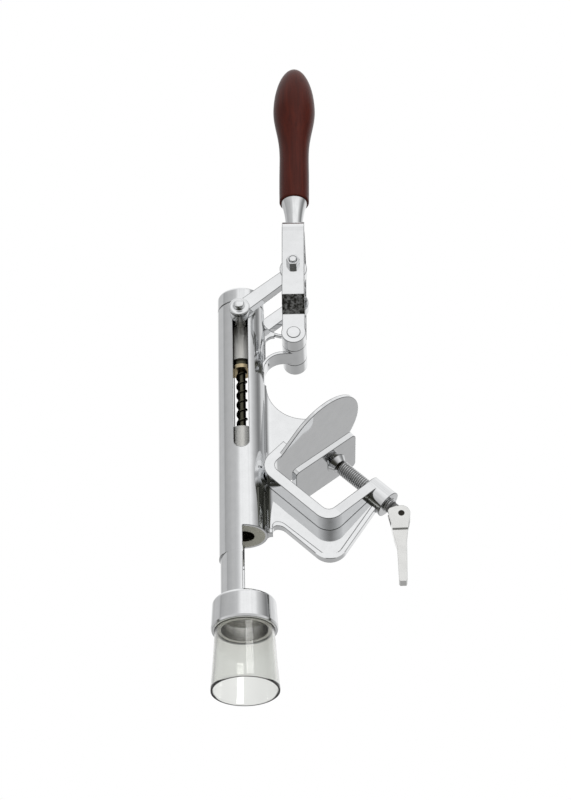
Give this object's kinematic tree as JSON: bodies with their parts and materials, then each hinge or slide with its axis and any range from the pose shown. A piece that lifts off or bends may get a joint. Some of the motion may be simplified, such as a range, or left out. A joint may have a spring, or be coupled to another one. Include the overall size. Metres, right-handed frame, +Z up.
{
  "type": "counter mount corkscrew",
  "caption": "Upright lever corkscrew with a C-clamp for a counter edge: the lever drives a worm down a slotted barrel into a bottle held in the collar.",
  "frame": {"origin": "on the barrel's axis, at the lower edge of the bell that takes the bottle's lip", "axes": "+Z up the barrel, +X from the barrel towards the clamp, -Y the front with the nearer slot"},
  "size_m": [0.1317, 0.0726, 0.507],
  "materials": {
    "chrome_casting": "polished",
    "chrome_turned": "polished",
    "satin_steel": "satin",
    "dark_steel": "oiled",
    "brass": "satin",
    "bronze": "satin",
    "clear_plastic": "clear and polished",
    "dark_wood": "satin lacquer"
  },
  "bodies": {
    "frame": {"body_casting": "chrome_casting", "clamp_frame": "chrome_casting", "cork_shell": "chrome_casting", "top_cap": "chrome_turned", "bottle_collar": "chrome_turned", "centring_bell": "satin_steel", "clear_guard": "clear_plastic", "fulcrum_bush": "bronze"},
    "slider": {"slider_block": "satin_steel", "slot_hubs": "satin_steel", "retaining_nut": "dark_steel"},
    "worm": {"cork_worm": "dark_steel", "thrust_disc": "brass"},
    "carriage": {"nut_carriage": "satin_steel", "drive_nut": "bronze"},
    "lever": {"lever_fork": "chrome_casting", "fulcrum_pin": "chrome_turned", "link_bolts": "chrome_turned", "link_nuts": "chrome_turned", "handle_ferrule": "chrome_turned", "handle_tang": "satin_steel", "wood_handle": "dark_wood"},
    "links": {"front_link": "chrome_casting", "rear_link": "chrome_casting", "link_screws": "chrome_turned", "link_washers": "chrome_turned"},
    "swivel": {"swivel_ball": "dark_steel"},
    "pad": {"swivel_cup": "chrome_turned", "clamp_pad": "chrome_casting"},
    "screw": {"clamp_screw": "chrome_turned", "thumb_lever_pin": "satin_steel"},
    "thumb": {"thumb_lever": "chrome_casting"}
  },
  "joints": [
    {"name": "lever_swing", "type": "hinge", "parent": "frame", "child": "lever", "pos_m": [0.0366, 0, 0.2158], "axis": [0, -1, 0], "range_deg": [0, 130]},
    {"name": "link_swing", "type": "hinge", "parent": "lever", "child": "links", "pos_m": [0.03765, 0, 0.26589], "axis": [0, 1, 0], "range_deg": [0, 77.47]},
    {"name": "slider_slide", "type": "slide", "parent": "frame", "child": "slider", "axis": [0, 0, -1], "range_m": [0, 0.09889]},
    {"name": "worm_spin", "type": "hinge", "parent": "slider", "child": "worm", "pos_m": [0, 0, 0.204], "axis": [0, 0, -1], "range_deg": [0, 2161]},
    {"name": "nut_slide", "type": "slide", "parent": "frame", "child": "carriage", "axis": [0, 0, -1], "range_m": [0, 0.05389]},
    {"name": "clamp_slide", "type": "slide", "parent": "frame", "child": "swivel", "axis": [-0.7071, 0, 0.7071], "range_m": [-0.018, 0.003]},
    {"name": "clamp_turn", "type": "hinge", "parent": "swivel", "child": "screw", "pos_m": [0.08309, 0, 0.10189], "axis": [-0.7071, 0, 0.7071], "range_deg": [-4323, 723]},
    {"name": "thumb_tilt", "type": "hinge", "parent": "screw", "child": "thumb", "pos_m": [0.10373, 0, 0.08012], "axis": [0, -1, 0], "range_deg": [-30, 120]},
    {"name": "pad_tilt", "type": "hinge", "parent": "swivel", "child": "pad", "pos_m": [0.06315, 0, 0.12183], "axis": [0, 1, 0], "range_deg": [-8, 2]}
  ],
  "couplings": [
    {"joint": "link_swing", "follows": "lever_swing", "ratio": 0.59557},
    {"joint": "slider_slide", "follows": "lever_swing", "m_per_rad": 0.043576},
    {"joint": "worm_spin", "follows": "lever_swing", "ratio": 16.615},
    {"joint": "nut_slide", "follows": "lever_swing", "m_per_rad": 0.023743},
    {"joint": "clamp_turn", "follows": "clamp_slide", "rad_per_m": 4188.8}
  ]
}
